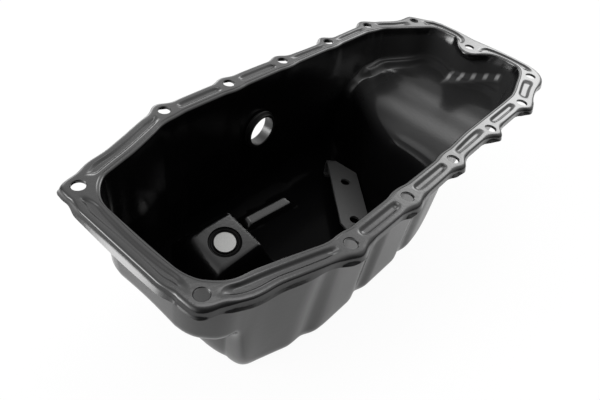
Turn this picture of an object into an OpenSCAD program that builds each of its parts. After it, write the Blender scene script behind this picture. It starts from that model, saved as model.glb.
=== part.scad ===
// Engine oil pan: one deep-drawn sheet pan with a stepped sump, and the fittings fixed to it.
// Origin: middle of the underside's outline, X along the pan, Z up to the engine. Millimetres.

/* [Pan] */
// Height from the sump's underside to the sealing face
pan_height = 102; // [90:1:130]
// Sheet thickness
sheet = 1.5; // [1.2:0.1:2]
// Depth of the turned-down lip round the flange
lip_depth = 6.5; // [4:0.5:9]
// Underside of the step at the left end, above the sump's underside
shelf_height = 48.5; // [35:1:65]
// Inner floor of the shallow end at its crest, above the sump's underside
shallow_height = 64; // [50:1:70]
// Radius between flange and inner wall
rim_radius = 2.5; // [1.5:0.25:4]
// How far the walls close in from top to bottom
wall_draft = 2; // [0:0.5:4]

/* [Bolts] */
// Diameter of the flange bolt holes
bolt_hole = 7; // [6.4:0.1:9]
// Distance between neighbouring bolts of the long rows
bolt_pitch = 50; // [48:0.5:52]
// Distance between the two long rows
row_gap = 134; // [132:0.5:136]
// Depth of the sealing groove between bolts
bead_depth = 1.2; // [0:0.1:1.6]

/* [Port and drain] */
// Bore of the return port in the far wall
port_bore = 21; // [16:0.5:24]
// Length of the port's sleeve
port_length = 8; // [7:0.5:16]
// Diameter of the drain plug's shank
plug_diameter = 15.2; // [12:0.2:17]
// Hexagon of the plug's head, across flats
plug_hexagon = 19; // [17:1:22]

/* [Strip] */
// Width of the strip on the sump's floor
strip_width = 22; // [16:1:26]
// Diameter of the strip's two holes
strip_hole = 7; // [5:0.5:9]
// Thickness of the strip
strip_sheet = 2; // [1.5:0.25:2.5]

/* [Hidden] */
$fn = 64;
bolt_x = [for (k = [0:4]) -90 + k * bolt_pitch];
row_y = row_gap / 2;
end_far = [154, 50];
end_mid = [154, -2.5];
end_near = [154, -55];
ear_far = [-160, 42];
ear_near = [-160, -43];
floor_in = sheet;
shelf_in = shelf_height + sheet;
port_pos = [-17, 57.4, 62.5];
drain_pos = [-76.3, 24.5, 18.1];
drain_slope = [0.2, 0.187];
nut_outer = plug_diameter / 2 + 4.4;
nut_hole = nut_outer + 0.15;
plug_fit = 0.12;
strip_pos = [11.1, -17.3];
strip_height = 14.5;

function clamp01(t) = min(1, max(0, t));
function ease(a, b, t) = let (k = clamp01((t - a) / (b - a))) k * k * (3 - 2 * k);
function mix(a, b, t) = a + (b - a) * t;
function soft(x, w, tab) = (lookup(x - w, tab) + 2 * lookup(x, tab) + lookup(x + w, tab)) / 4;
function near_bolt(x) = min([for (b = bolt_x) abs(x - b)]);
function flute(x, deep) = deep * (1 - ease(1, 11, near_bolt(x)));
function ear(x, base) = base + (row_y + 8 - base) * exp(-pow(near_bolt(x) / 6, 2));

// inner wall of the long sides, as distance from the middle plane
wall_far_tab = [[-158.1, 21], [-157.5, 25], [-156, 29.6], [-153.2, 34.3], [-150.5, 37.5], [-146, 41],
    [-139, 43.1], [-133, 44.8], [-127, 46.4], [-118.7, 49.2], [-112, 51.7], [-105.3, 54.3],
    [-98.7, 57.1], [-92, 59], [-86, row_y - 7.6], [100, row_y - 7.4], [112, 58.2], [130, 49.8],
    [146.6, 40.8], [155.2, 36], [159.7, 31], [161.2, 26], [161.4, 24]];
wall_near_tab = [[-158.1, 24], [-157.4, 28.5], [-156.4, 32], [-154.6, 35.8], [-152.6, 38.2],
    [-149.8, 41.1], [-147, 43.4], [-142, 45.7], [-136.4, 46.7], [-133.1, 47.4], [-127.6, 49],
    [-116.4, 52.4], [-105.3, 55.9], [-99.8, 57.7], [-92, row_y - 7.4], [5, row_y - 7.2],
    [22, 58.8], [45, 57.4], [112, 57], [120, 55.8], [134.3, 52], [150.6, 47], [157.9, 42.8],
    [160.1, 39.2], [161.1, 34], [161.2, 32]];
// outer edge of the flange on the long sides
edge_far_tab = [[-168, 38], [-167.7, 43.5], [-166, 46.6], [-162.5, 48.4], [-157, 49.6],
    [-147, 53.6], [-137, 55.7], [-124, 60], [-99, 68.6], [-88, row_y + 3.7], [-50, row_y + 4.3],
    [-30, row_y + 5], [2, row_y + 4.6], [22, row_y + 2.6], [45, row_y + 1.8], [100, row_y + 2.6],
    [113, 70.5], [122, 66.8], [144.5, 57.5], [157, 57.3], [161.4, 52.4], [167, 43.5],
    [171, 37.9], [172, 32]];
edge_near_tab = [[-168, 36], [-167.7, 44.5], [-166, 48.4], [-162.5, 50.9], [-157, 52.9],
    [-153.7, 54.9], [-149.8, 57], [-145.3, 58.9], [-140.9, 60], [-133, 61.1], [-122, 64.3],
    [-110, 67.9], [-97, 71.3], [-90, row_y + 5.4], [-50, row_y + 6], [0, row_y + 5.4],
    [26, row_y + 3.2], [104, row_y + 3], [112, 73], [118, 72.6], [122, 71], [128, 69], [141, 66],
    [151, 65], [158, 63], [163.5, 59.5], [167.5, 54], [170.8, 44], [171.6, 34]];
// right end: the opening reaches round the middle bolt
wall_end_tab = [[-32, 161.2], [-25.4, 160.7], [-19.9, 158.5], [-14.6, 152.7], [-10.2, 145.3],
    [-7.5, 143], [-5, 142.4], [-2, 142.9], [1.2, 144.8], [7.5, 152.4], [11.2, 158.8], [15, 161.2],
    [24, 161.4]];
edge_end_tab = [[-34, 171.6], [-26, 171.8], [-12, 171.4], [2, 170.6], [11, 171.6], [20, 172.3], [32, 172]];
left_wall = -158.1;

// the flutes of the near side start below the rim at the shallow end
function wall_y(x, side, h) = side > 0
    ? soft(x, 1.2, wall_far_tab) - flute(x, 0.9 + 0.3 * h)
    : -soft(x, 1.2, wall_near_tab) + flute(x, 1.1 - 1.1 * ease(10, 30, x) + 1.1 * min(1, 2 * h));
function edge_y(x, side) = side > 0
    ? ear(x, soft(x, 1, edge_far_tab) + 0.8)
    : -ear(x, soft(x, 1, edge_near_tab));

// samples along the long sides: flange edge, wall top, wall foot far and near
side_top = concat([-158.1, -157.5, -156, -152.5, -146, -139, -133, -127, -121, -114, -106],
    [for (k = [0:4]) each [bolt_x[k] - 7.5, bolt_x[k] - 3, bolt_x[k] + 3, bolt_x[k] + 7.5,
        if (k < 4) each [bolt_x[k] + 16, bolt_x[k] + 25, bolt_x[k] + 34]]]);
top_far = concat(side_top, [122, 129, 136, 143, 150, 157, 161.4]);
top_near = concat(side_top, [123, 130, 138, 146, 153, 159, 161.2]);
edge_left = [-168, -167.9, -166.5, -163.5, -158, -149, -140, -131, -123, -115, -106];
edge_mid = [for (k = [11:42]) side_top[k]];
edge_far = concat(edge_left, edge_mid, [122.5, 132, 143, 151, 158, 165, 172]);
edge_near = concat(edge_left, edge_mid, [123, 133, 143, 152, 160, 167, 171.6]);
last = len(top_far) - 1;

// floor columns: [wall foot near, wall foot far, middle shift, inner height]
deep = floor_in;
rise = shallow_height;
columns = [
    [-158.1, -158.1, 0, shelf_in], [-157.5, -157.5, 0, shelf_in], [-156, -156, 0, shelf_in],
    [-152.5, -152.5, 0, shelf_in], [-146, -146, 0, shelf_in], [-138.5, -138.5, -2.5, shelf_in],
    [-135.5, -135.5, -3, shelf_in - 1.5], [-133.5, -133.5, -3, shelf_in - 6], [-132, -132, -3, deep + 18],
    [-130, -130, -3, deep + 9], [-126, -126, -3, deep + 3], [-120, -120, -3, deep + 0.4],
    [-111, -111, -1, deep], [-99, -99, 0, deep], [-92, -92, 0, deep], [-84, -84, 0, deep],
    [-76, -76, 0, deep], [-68, -68, 0, deep], [-61, -61, 0, deep], [-57.5, -57.5, 0, deep],
    [-46, -45, 0, deep], [-41, -42, 0, deep], [-28, -22, 0, deep], [-15, -4, 0, deep],
    [-8, 0.5, 0, deep], [8, 34, 2, deep], [23, 62, 7, deep], [29, 68.5, 7, deep + 1.3],
    [34, 73.5, 7, deep + 5], [37, 76.5, 7, deep + 10.5], [39, 79, 7, deep + 19],
    [41.5, 82, 7, rise - 15], [44, 85.5, 6, rise - 7], [48.5, 90.5, 4, rise - 1.5],
    [57, 97, 2, rise + 1], [64, 101, 1, rise + 2.2], [72, 104, 0, rise + 3], [81, 107, 0, rise + 3.6],
    [91, 110, 0, rise + 4.3], [101, 113, 0, rise + 5], [107, 115, 0, rise + 5.6],
    [113, 117, 0, rise + 6.2], [118, 119.5, 0, rise + 6.8], [123, 122, 0, rise + 7.5],
    [130, 129, 0, rise + 8.5], [138, 136, 0, rise + 9.5], [146, 143, 0, rise + 10.5],
    [153, 150, 0, rise + 11], [159, 157, 0, rise + 11.5], [161.2, 161.4, 0, rise + 11.5]];
// rows across the floor, in the sump's own width
row_at = [-42.5, -34, -24, -14, -5, 3.5, 8.6, 12, 18, 24.5, 29.6, 31.6, 37.6, 40, 42.5];
end_rows = [-32, -26, -21, -18, -15, -11, -6, -2.5, 1, 4, 7, 9.5, 12, 17, 24];
rows = len(row_at) - 1;
function row_frac(j) = (row_at[j] + 42.5) / 85;

// one step of the loop round the pan: [kind, index]; far side, right end, near side, left end
loop = 2 * (last + rows);
function at(s) = let (m = (s + loop) % loop)
    m < last ? [0, m] : m < last + rows ? [1, rows - (m - last)]
    : m < 2 * last + rows ? [2, last - (m - last - rows)] : [3, m - 2 * last - rows];
function foot_radius(k) = k < 8 ? 9 : k < 31 ? 16 : 7;
function column_of(s) = let (a = at(s)) a[0] == 0 || a[0] == 2 ? a[1] : a[0] == 1 ? last : 0;
function edge_xy(s) = let (a = at(s), k = a[1])
    a[0] == 0 ? [edge_far[k], edge_y(edge_far[k], 1)]
    : a[0] == 2 ? [edge_near[k], edge_y(edge_near[k], -1)]
    : a[0] == 1 ? let (y = mix(-34, 34, (end_rows[k] + 32) / 56)) [lookup(y, edge_end_tab), y]
    : let (y = mix(-36, 38, row_frac(k))) [-170 + 2 * ease(26, 37, abs(y)), y];
function top_xy(s, h) = let (a = at(s), k = a[1])
    a[0] == 0 ? let (x = mix(top_far[k], columns[k][1], h * h)) [x, wall_y(x, 1, h)]
    : a[0] == 2 ? let (x = mix(top_near[k], columns[k][0], h * h)) [x, wall_y(x, -1, h)]
    : a[0] == 1 ? let (y = end_rows[k]) [soft(y, 0.8, wall_end_tab), y]
    : [left_wall, mix(-24, 21, row_frac(k))];
// direction into the pan: across it, and fanned round the two ends
function inward(p) = p[0] < -125 ? unit([-125 - p[0], -p[1]])
    : p[0] > 112 ? unit([112 - p[0], -4 - p[1]]) : [0, p[1] > 0 ? -1 : 1];
function unit(v) = v / norm(v);
function bolt_free(p) = min([for (q = concat([for (b = bolt_x, y = [-row_y, row_y]) [b, y]],
    [end_far, end_mid, end_near, ear_far, ear_near])) norm(p - q)]);

function bead(s, e, w) = bead_depth * ease(9, 11.5, bolt_free((e + w) / 2)) * clamp01((norm(e - w) - 7) / 2);
function ring_point(r, s) = let (e = edge_xy(s), w = top_xy(s, 0), across = unit(w - e), width = norm(w - e))
    r == 0 ? [e[0], e[1], pan_height - lip_depth]
    : r == 1 ? [e[0], e[1], pan_height - 1.5]
    : r == 2 ? let (p = e + across * 0.45) [p[0], p[1], pan_height - 0.45]
    : r == 3 ? let (p = e + across * 1.5) [p[0], p[1], pan_height]
    : r < 8 ? let (f = [0.22, 0.34, 0.74, 0.86][r - 4], p = mix(e + across * 1.5, w - across * rim_radius, f))
        [p[0], p[1], pan_height - (r == 5 || r == 6 ? bead(s, e, w) : 0)]
    : r == 8 ? let (p = w - across * rim_radius) [p[0], p[1], pan_height]
    : r == 9 ? let (p = w - across * rim_radius * 0.293) [p[0], p[1], pan_height - rim_radius * 0.293]
    : wall_point(r - 10, s);
// walls in three steps, then the round foot in three
function wall_point(r, s) =
    let (z = columns[column_of(s)][3], rad = foot_radius(column_of(s)), top = pan_height - rim_radius,
        h = r < 4 ? [0, 0.3, 0.65, 1][r] : 1, a = r < 4 ? 0 : (r - 3) * 30, p = top_xy(s, h),
        n = inward(p), d = wall_draft * h * lean(p[0]) + rad * (1 - cos(a)), q = p + n * d)
    [q[0], q[1], r < 4 ? mix(top, z + rad, h) : z + rad * (1 - sin(a))];
function lean(x) = 1 + 1.4 * ease(-136, -118, x) * (1 - ease(-100, -72, x)) + 0.4 * (1 - ease(-156, -146, x))
    + 1.2 * ease(118, 145, x);
rings = 17;

// raised square round the drain: a tipped plane with three steep sides, and one slow side on the left
function plateau(x, y) = let (p = drain_pos[2] - floor_in + drain_slope[0] * (x - drain_pos[0])
    + drain_slope[1] * (y - drain_pos[1]), left = x + 94.5 - 0.26 * (y - 26))
    max(0, min(p, p + 0.95 * left)) * clamp01((-57.5 - x) / 3.5) * clamp01((y - 3.5) / 5)
    * clamp01((44.4 - 0.125 * (x + 89) - y) / 3);
function rib(x, y) = let (c = 34.9 - 0.09 * (x + 22), v = y - c) (5.1 + 0.24 * v)
    * clamp01((x + 45) / 3) * clamp01((0.5 - x) / 4) * clamp01((v + 5.3) / 2) * clamp01((5.1 - v) / 2.4);
function edge_ring(i, j) = let (s = j == rows ? i : i == last ? last + rows - j
    : j == 0 ? last + rows + last - i : i == 0 ? 2 * last + rows + j : -1) s;
function floor_point(i, j) = let (s = edge_ring(i, j)) s >= 0 ? ring_point(rings - 1, s % loop)
    : let (f = ring_point(rings - 1, i), n = ring_point(rings - 1, 2 * last + rows - i), t = row_frac(j),
        l = ring_point(rings - 1, 2 * last + rows + j), g = ring_point(rings - 1, last + rows - j),
        v = 2 * t - 1, c = columns[i], bend = i > 24 && i < 42 ? pow(clamp01((t - 0.35) / 0.65), 1.5) : t,
        x0 = mix(n[0], f[0], bend) + c[2] * (1 - pow(abs(v), 4)),
        side = pow(abs(v), 6), a = (i - 36) / (last - 36),
        x = i < 4 ? mix(l[0], x0, i / 4) : i > 36 ? mix(mix(mix(columns[36][0], columns[36][1], bend), g[0], a), x0, side) : x0,
        slant = x < 30 && j > 8 && j < 14 ? [0.5, 1, 1, 1, 0.5][j - 9] * -0.09 * (x + 22) * ease(-60, -45, x) : 0,
        y = mix(mix(n[1], f[1], t), g[1], i > 36 ? a * a : 0) + slant)
    [x, y, c[3] + plateau(x, y) + rib(x, y)];

grid_rings = [for (r = [0:rings - 1]) [for (s = [0:loop - 1]) ring_point(r, s)]];
grid_floor = [for (i = [0:last]) [for (j = [0:rows]) floor_point(i, j)]];
function ring_normal(r, s) = let (a = grid_rings[r][(s + 1) % loop], b = grid_rings[r][(s + loop - 1) % loop],
    k = at(s), i = column_of(s), j = k[0] == 0 ? rows : k[0] == 2 ? 0 : k[1],
    deeper = r < rings - 1 ? grid_rings[r + 1][s]
        : grid_floor[min(last - 1, max(1, i))][min(rows - 1, max(1, j))],
    higher = r > 0 ? grid_rings[r - 1][s] : grid_rings[0][s])
    unit(cross(deeper - higher, a - b));
function floor_normal(i, j) = unit(cross(grid_floor[i + 1][j] - grid_floor[i - 1][j],
    grid_floor[i][j + 1] - grid_floor[i][j - 1]));

inner_points = concat([for (r = [0:rings - 1]) each grid_rings[r]],
    [for (i = [1:last - 1]) for (j = [1:rows - 1]) grid_floor[i][j]]);
outer_points = concat([for (r = [0:rings - 1]) for (s = [0:loop - 1]) let (n = ring_normal(r, s), p = grid_rings[r][s])
        r == 0 ? p - unit([n[0], n[1], 0]) * sheet : p - n * sheet],
    [for (i = [1:last - 1]) for (j = [1:rows - 1]) grid_floor[i][j] - floor_normal(i, j) * sheet]);
count = len(inner_points);
function floor_index(i, j) = let (s = edge_ring(i, j)) s >= 0 ? (rings - 1) * loop + s % loop
    : rings * loop + (i - 1) * (rows - 1) + j - 1;
function quad(a, b, c, d) = [[a, b, c], [a, c, d]];
ring_faces = [for (r = [0:rings - 2]) for (s = [0:loop - 1]) let (t = (s + 1) % loop)
    each quad(r * loop + s, r * loop + t, (r + 1) * loop + t, (r + 1) * loop + s)];
floor_faces = [for (i = [0:last - 1]) for (j = [0:rows - 1])
    each quad(floor_index(i, j), floor_index(i, j + 1), floor_index(i + 1, j + 1), floor_index(i + 1, j))];
inner_faces = concat(ring_faces, floor_faces);
outer_faces = [for (f = inner_faces) [f[2] + count, f[1] + count, f[0] + count]];
lip_faces = [for (s = [0:loop - 1]) let (t = (s + 1) % loop) each quad(t, s, s + count, t + count)];

edge_ends = [-170, 172.3];
module centred() {
    translate([-(edge_ends[0] + edge_ends[1]) / 2, 0, 0])
    children();
}

module place_drain() {
    translate(drain_pos)
    rotate([0, 0, atan2(drain_slope[1], drain_slope[0])])
    rotate([0, -atan(norm(drain_slope)), 0])
    children();
}

module pan_shell() {
    color([0.1, 0.1, 0.11])
    difference() {
        polyhedron(points = concat(inner_points, outer_points), faces = concat(inner_faces, outer_faces, lip_faces));
        for (b = bolt_x, y = [-row_y, row_y])
            translate([b, y, pan_height - 4])
            cylinder(h = 8, d = bolt_hole);
        for (p = [end_far, end_mid, end_near, ear_far, ear_near])
            translate([p[0], p[1], pan_height - 4])
            cylinder(h = 8, d = bolt_hole);
        translate(port_pos)
        rotate([90, 0, 0])
        cylinder(h = 20, r = port_bore / 2 + 2.1, center = true);
        place_drain()
        cylinder(h = 12, r = nut_hole, center = true);
    }
}

module port_sleeve() {
    color([0.12, 0.12, 0.13])
    translate(port_pos)
    rotate([-90, 0, 0])
    translate([0, 0, -3.2])
    difference() {
        union() {
            cylinder(h = port_length, r = port_bore / 2 + 2);
            translate([0, 0, 2.5])
            cylinder(h = 1.3, r = port_bore / 2 + 3.2);
        }
        translate([0, 0, -1])
        cylinder(h = port_length + 2, d = port_bore);
    }
}

module drain_nut() {
    color([0.13, 0.13, 0.14])
    place_drain()
    translate([0, 0, -9])
    difference() {
        union() {
            cylinder(h = 8, r = nut_outer);
            translate([0, 0, 6.5 - sheet])
            cylinder(h = 2.5, r = nut_outer + 0.3);
        }
        translate([0, 0, -1])
        cylinder(h = 12, d = plug_diameter + 2 * plug_fit);
    }
}

module drain_plug() {
    color([0.7, 0.7, 0.72])
    place_drain()
    union() {
        translate([0, 0, -9.2])
        cylinder(h = 8.8, d = plug_diameter);
        translate([0, 0, -10.4])
        cylinder(h = 1.4, d = plug_hexagon * 1.16);
        translate([0, 0, -14.6])
        cylinder(h = 4.4, d = plug_hexagon / cos(30), $fn = 6);
    }
}

// the strip seen from above: full width in the middle, a narrow tongue at each end
module strip_plan() {
    w = strip_width / 2;
    translate([0, 0, -1])
    linear_extrude(height = 30)
    polygon([[-27, -4], [-15, -4], [-9, -w], [50, -w], [66, 5.5], [66, w], [-6, w], [-15, 6], [-27, 6]]);
}

// bent once at each end, with its feet on the floor
module baffle_strip() {
    s = strip_sheet;
    h = strip_height;
    color([0.14, 0.14, 0.15])
    translate([strip_pos[0], strip_pos[1], floor_in])
    rotate([0, 0, 47])
    difference() {
        intersection() {
            translate([0, 20, 0])
            rotate([90, 0, 0])
            linear_extrude(height = 40)
            polygon([[-27, 0], [-17.2, 0], [-11.4, h - s], [66 - s, h - s], [66 - s, s], [61, s],
                [61, 0], [66, 0], [66, h], [-12.6, h], [-18.4, s], [-27, s]]);
            strip_plan();
        }
        for (u = [-2.2, 38.8])
            translate([u, 0, h - s - 2])
            cylinder(h = 10, d = strip_hole);
    }
}

centred() pan_shell();
centred() port_sleeve();
centred() drain_nut();
centred() drain_plug();
centred() baffle_strip();
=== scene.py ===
"""Engine oil pan: a black painted sheet steel pan with its port, drain boss, drain plug and the
strip on its floor."""

import bpy
import numpy as np
from mathutils import Matrix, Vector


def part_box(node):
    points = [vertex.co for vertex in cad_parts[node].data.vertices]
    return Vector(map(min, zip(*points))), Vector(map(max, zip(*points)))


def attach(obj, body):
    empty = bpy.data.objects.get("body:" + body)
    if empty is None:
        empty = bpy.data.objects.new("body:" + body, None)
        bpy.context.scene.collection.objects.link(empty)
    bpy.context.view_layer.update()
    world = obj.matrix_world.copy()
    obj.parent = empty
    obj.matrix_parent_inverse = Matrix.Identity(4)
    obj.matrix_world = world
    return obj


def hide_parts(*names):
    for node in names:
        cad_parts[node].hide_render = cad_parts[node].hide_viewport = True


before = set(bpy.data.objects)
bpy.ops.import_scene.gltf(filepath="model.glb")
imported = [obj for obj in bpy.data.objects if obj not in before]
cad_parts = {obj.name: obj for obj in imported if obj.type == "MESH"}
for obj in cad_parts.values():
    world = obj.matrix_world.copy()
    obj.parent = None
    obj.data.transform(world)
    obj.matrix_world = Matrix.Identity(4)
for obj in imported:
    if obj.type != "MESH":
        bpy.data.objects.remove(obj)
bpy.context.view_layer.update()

# Pan shell. The real piece is one blank of thin steel, deep drawn in steps, then trimmed, pierced
# and pressed with sealing grooves. It is worked out here in millimetres as a skin that follows
# stations round the opening and sections from the lip down to the floor, and is then thickened.
face_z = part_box("pan_shell")[1][2] * 1000  # the sealing face
middle_x = -1.15  # from the zero of these lengths to the object's middle
left_wall = -158.1
sheet = 1.5
lip_depth = 4.2
roll_radius = 1.4
bead_depth = 1.2
wall_draft = 2.0
step_floor = 48.5 + sheet
crest_floor = 64.0
bolt_r = 3.5
bolt_x = np.arange(-90.0, 111.0, 50.0)
row_y = 67.0
end_bolts = [(154.0, 50.0), (154.0, -2.5), (154.0, -55.0), (-160.0, 42.0), (-160.0, -43.0)]
bolts = [(x, y) for x in bolt_x for y in (row_y, -row_y)] + end_bolts


def curve(at, places, values):
    """Smooth curve through points: between two points a cubic, with its slope at each point the
    weighted harmonic mean of the chords beside it, or level where the chords turn."""
    x = np.asarray(places, float)
    y = np.asarray(values, float)
    h = np.diff(x)
    d = np.diff(y) / h
    turn = d[1:] * d[:-1] <= 0
    w1 = 2 * h[1:] + h[:-1]
    w2 = h[1:] + 2 * h[:-1]
    safe = np.where(turn, 1.0, d[:-1])
    safe2 = np.where(turn, 1.0, d[1:])
    inner = np.where(turn, 0.0, (w1 + w2) / (w1 / safe + w2 / safe2))
    slope = np.concatenate([d[:1], inner, d[-1:]])
    at = np.clip(at, x[0], x[-1])
    k = np.clip(np.searchsorted(x, at, side="right") - 1, 0, len(h) - 1)
    t = (at - x[k]) / h[k]
    return (y[k] * (1 + 2 * t) * (1 - t) ** 2 + y[k + 1] * t * t * (3 - 2 * t)
            + h[k] * (slope[k] * t * (1 - t) ** 2 + slope[k + 1] * t * t * (t - 1)))


def along(at, table):
    """The smooth curve through a list of (place, value) pairs."""
    places, values = zip(*table)
    return curve(at, places, values)


def ease(a, b, t):
    """0 before a, 1 after b, and the S curve 3k^2 - 2k^3 between them."""
    k = np.clip((t - a) / (b - a), 0, 1)
    return k * k * (3 - 2 * k)


def mix(a, b, t):
    """a at t = 0, b at t = 1."""
    return a + (b - a) * t


def near_bolt(x):
    """Distance along the pan to the nearest bolt of the long rows."""
    return np.min(np.abs(np.asarray(x)[..., None] - bolt_x), axis=-1)


# plan of the rim and of the flange's edge: (place along the pan, distance from the middle line)
wall_far = [(left_wall, 21), (-157.5, 25), (-156, 29.6), (-153.2, 34.3), (-150.5, 37.5),
            (-146, 41), (-139, 43.1), (-133, 44.8), (-127, 46.4), (-118.7, 49.2), (-112, 51.7),
            (-105.3, 54.3), (-98.7, 57.1), (-92, 59), (-86, row_y - 7.6), (100, row_y - 7.4),
            (112, 58.2), (130, 49.8), (146.6, 40.8), (155.2, 36), (159.7, 31), (161.2, 26),
            (161.4, 24)]
wall_near = [(left_wall, 24), (-157.4, 28.5), (-156.4, 32), (-154.6, 35.8), (-152.6, 38.2),
             (-149.8, 41.1), (-147, 43.4), (-142, 45.7), (-136.4, 46.7), (-133.1, 47.4),
             (-127.6, 49), (-116.4, 52.4), (-105.3, 55.9), (-99.8, 57.7), (-92, row_y - 7.4),
             (5, row_y - 7.2), (22, 58.8), (45, 57.4), (112, 57), (120, 55.8), (134.3, 52),
             (150.6, 47), (157.9, 42.8), (160.1, 39.2), (161.1, 34), (161.2, 32)]
lip_far = [(-168, 38), (-167.7, 43.5), (-166, 46.6), (-162.5, 48.4), (-157, 49.6), (-147, 53.6),
           (-137, 55.7), (-124, 60), (-99, 68.6), (-88, row_y + 3.7), (-50, row_y + 4.3),
           (-30, row_y + 5), (2, row_y + 4.6), (22, row_y + 2.6), (45, row_y + 1.8),
           (100, row_y + 2.6), (113, 70.5), (122, 66.8), (144.5, 57.5), (157, 57.3), (161.4, 52.4),
           (167, 43.5), (171, 37.9), (172, 32)]
lip_near = [(-168, 36), (-167.7, 44.5), (-166, 48.4), (-162.5, 50.9), (-157, 52.9),
            (-153.7, 54.9), (-149.8, 57), (-145.3, 58.9), (-140.9, 60), (-133, 61.1), (-122, 64.3),
            (-110, 67.9), (-97, 71.3), (-90, row_y + 5.4), (-50, row_y + 6), (0, row_y + 5.4),
            (26, row_y + 3.2), (104, row_y + 3), (112, 73), (118, 72.6), (122, 71), (128, 69),
            (141, 66), (151, 65), (158, 63), (163.5, 59.5), (167.5, 54), (170.8, 44), (171.6, 34)]
# the right end, as (place across, place along): the rim with its notch, lower down, and the lip
wall_end = [(-32, 161.2), (-25.4, 160.7), (-19.9, 158.5), (-14.6, 152.7), (-10.2, 145.3),
            (-7.5, 143), (-5, 142.4), (-2, 142.9), (1.2, 144.8), (7.5, 152.4), (11.2, 158.8),
            (15, 161.2), (24, 161.4)]
wall_end_low = [(-32, 161.2), (-24, 159.4), (-14, 156.4), (-4, 155), (6, 156.4), (15, 160),
                (24, 161.4)]
lip_end = [(-34, 171.6), (-26, 171.8), (-12, 171.4), (2, 170.6), (11, 171.6), (20, 172.3),
           (32, 172)]


def wall_line(x, side, h):
    """Half width of the opening at depth h: a smooth curve, less a shallow flute at each bolt. The
    flutes of the near side start below the rim at the shallow end."""
    if side > 0:
        table, deep = wall_far, 0.9 + 0.3 * h
    else:
        table, deep = wall_near, 1.1 * ease(30, 10, x) + 1.1 * np.minimum(1, 2 * h)
    return side * (along(x, table) - deep * (1 - ease(1, 11, near_bolt(x))))


def lip_line(x, side):
    """Half width of the flange: a smooth curve, raised at each bolt to an ear 8 mm past the bolt,
    with the shape exp(-(d / 6)^2)."""
    base = along(x, lip_far if side > 0 else lip_near) + (0.8 if side > 0 else 0)
    return side * (base + (row_y + 8 - base) * np.exp(-((near_bolt(x) / 6) ** 2)))


# stations along the pan: wall top, flange edge, and the floor's columns with
# (foot of near wall, foot of far wall, shift of the middle, inner height)
between = [b + d for b in bolt_x for d in (-7.5, -3, 3, 7.5, 16, 25, 34) if b + d <= 118]
top_left = [left_wall, -157.5, -156.0, -152.5, -146, -139, -133, -127, -121, -114, -106]
lip_left = [-168, -167.9, -166.5, -163.5, -158, -149, -140, -131, -123, -115, -106]
top_far = top_left + between + [122, 129, 136, 143, 150, 157, 161.4]
top_near = top_left + between + [123, 130, 138, 146, 153, 159, 161.2]
edge_far = lip_left + between + [122.5, 132, 143, 151, 158, 165, 172]
edge_near = lip_left + between + [123, 133, 143, 152, 160, 167, 171.6]
columns = np.array([
    (left_wall, left_wall, 0, step_floor), (-157.5, -157.5, 0, step_floor),
    (-156, -156, 0, step_floor), (-152.5, -152.5, 0, step_floor), (-146, -146, 0, step_floor),
    (-139.5, -139.5, -2.5, step_floor - 0.6), (-136, -136, -3, step_floor - 4),
    (-133.5, -133.5, -3, step_floor - 11), (-131.7, -131.7, -3, sheet + 24),
    (-129.6, -129.6, -3, sheet + 12), (-126, -126, -3, sheet + 4), (-120, -120, -3, sheet + 0.4),
    (-111, -111, -1, sheet), (-99, -99, 0, sheet), (-95, -95, 0, sheet), (-86, -86, 0, sheet),
    (-77, -77, 0, sheet), (-68, -68, 0, sheet), (-61, -61, 0, sheet),
    (-57.5, -57.5, 0, sheet), (-49, -49, 0, sheet), (-40, -38, 0, sheet), (-30, -25, 0, sheet),
    (-19, -9, 0, sheet), (-6, 12, 0, sheet), (10, 36, 2, sheet), (23, 62, 7, sheet),
    (29, 68.5, 7, sheet + 1.3), (34, 73.5, 7, sheet + 5), (37, 76.5, 7, sheet + 10.5),
    (39, 79, 7, sheet + 19), (41.5, 82, 7, crest_floor - 15), (44, 85.5, 6, crest_floor - 7),
    (48.5, 90.5, 4, crest_floor - 1.5), (57, 97, 2, crest_floor + 1),
    (64, 101, 1, crest_floor + 2.2), (72, 104, 0, crest_floor + 3),
    (81, 107, 0, crest_floor + 3.6), (91, 110, 0, crest_floor + 4.3),
    (101, 113, 0, crest_floor + 5), (107, 115, 0, crest_floor + 5.6),
    (113, 117, 0, crest_floor + 6.2),
    (118, 119.5, 0, crest_floor + 6.8), (123, 122, 0, crest_floor + 7.5),
    (130, 129, 0, crest_floor + 8.5), (138, 136, 0, crest_floor + 9.5),
    (146, 143, 0, crest_floor + 10.5), (153, 150, 0, crest_floor + 11),
    (159, 157, 0, crest_floor + 11.5), (161.2, 161.4, 0, crest_floor + 11.5)])
rows_y = np.array([-42.5, -34, -24, -13, -3, 4, 6.6, 8.6, 10.6, 17, 24, 30, 33.5, 38, 42.5])
end_y = np.array([-32, -26, -21, -18, -15, -11, -6, -2.5, 1, 4, 7, 9.5, 12, 17, 24.0])
last = len(columns) - 1
rows = len(rows_y) - 1

# columns by number: the first past the left end's curve, the first that slants towards the far
# side, the upper half of the ramp, the shallow floor's crest, and the fan to the right end
left_col, slant_col, climb_col, crest_col, fan_col = 4, 24, 30, 33, 36

# faces are finer at the drain's square
pitch = np.where((columns[1:, 0] > -96) & (columns[1:, 0] < -57), 1.3, 2.0)
lengths = np.max(np.abs(np.diff(columns[:, :2], axis=0)), axis=1)
parts = np.ceil(np.maximum(lengths / pitch, 3)).astype(int)
col = np.concatenate([[0.0]] + [k + np.arange(1, n + 1) / n for k, n in enumerate(parts)])
row = np.linspace(0, rows, rows * 4 + 1)
step = np.arange(last + 1)
turn = np.arange(rows + 1)


def loop_of(far, right, near, left):
    """Four stretches joined to one loop: far side left to right, right end far to near, near side
    right to left, left end near to far. Each stretch drops its last point."""
    return np.concatenate([far[:-1], right[::-1][:-1], near[::-1][:-1], left[:-1]])


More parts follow.
